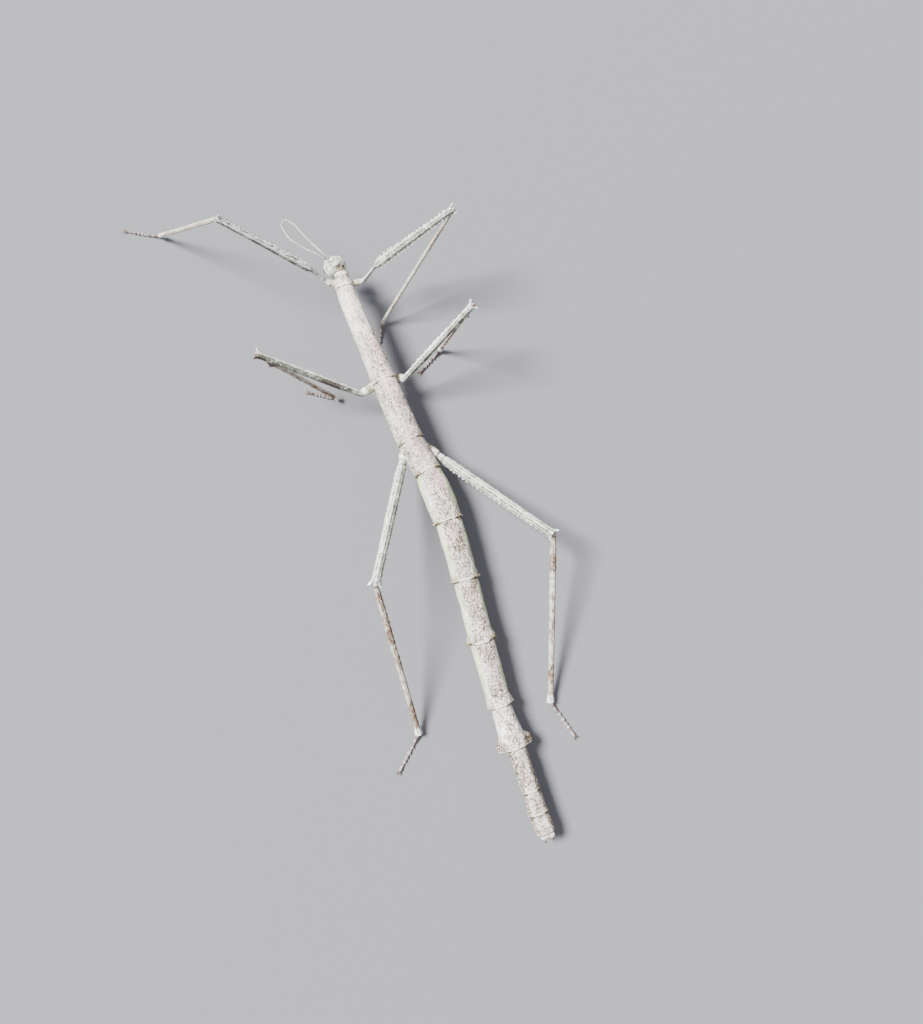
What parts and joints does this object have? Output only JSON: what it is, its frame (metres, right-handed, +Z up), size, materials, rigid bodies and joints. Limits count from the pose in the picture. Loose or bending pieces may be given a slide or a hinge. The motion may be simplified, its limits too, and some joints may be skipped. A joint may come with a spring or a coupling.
{
  "type": "giant stick insect",
  "caption": "Life-size still model of a giant stick insect: a long jointed bark-coloured body standing on thin saw-edged legs, with short thread-like antennae laid forward.",
  "frame": {"origin": "on the floor, under the middle of the box round the whole animal", "axes": "+Y toward the head, +X toward the animal's right side, +Z up"},
  "size_m": [0.1452, 0.3398, 0.06],
  "materials": {
    "body": "dry bark-like skin, pale grey and cream with fine brown speckle",
    "femora": "dry ridged skin, pale greenish white with grey-brown grooves",
    "tibiae": "dry ridged skin, tan and brown in bands",
    "feet": "dull buff-brown skin",
    "antennae": "dull pale buff",
    "mouthparts": "dull olive-buff skin",
    "eyes": "smooth and glossy, dark brown",
    "claws": "smooth, dark horn brown"
  },
  "bodies": {
    "root": {"pronotum": "body", "mesothorax": "body", "metathorax": "body", "median_segment": "body", "abdomen_2": "body", "abdomen_3": "body", "abdomen_4": "body", "abdomen_5": "body", "abdomen_6": "body", "abdomen_7": "body", "abdomen_8": "body", "abdomen_9": "body", "abdomen_10": "body", "head": "body", "mouthparts": "mouthparts", "neck": "body", "eye_left": "eyes", "antenna_left": "antennae", "maxillary_palp_left": "mouthparts", "labial_palp_left": "mouthparts", "eye_right": "eyes", "antenna_right": "antennae", "maxillary_palp_right": "mouthparts", "labial_palp_right": "mouthparts", "operculum": "body", "cercus_left": "body", "cercus_right": "body", "coxa_front_left": "body", "femur_front_left": "femora", "tibia_front_left": "tibiae", "tarsus_front_left": "feet", "claws_front_left": "claws", "coxa_front_right": "body", "femur_front_right": "femora", "tibia_front_right": "tibiae", "tarsus_front_right": "feet", "claws_front_right": "claws", "coxa_middle_left": "body", "femur_middle_left": "femora", "tibia_middle_left": "tibiae", "tarsus_middle_left": "feet", "claws_middle_left": "claws", "coxa_middle_right": "body", "femur_middle_right": "femora", "tibia_middle_right": "tibiae", "tarsus_middle_right": "feet", "claws_middle_right": "claws", "coxa_hind_left": "body", "femur_hind_left": "femora", "tibia_hind_left": "tibiae", "tarsus_hind_left": "feet", "claws_hind_left": "claws", "coxa_hind_right": "body", "femur_hind_right": "femora", "tibia_hind_right": "tibiae", "tarsus_hind_right": "feet", "claws_hind_right": "claws"}
  },
  "joints": []
}
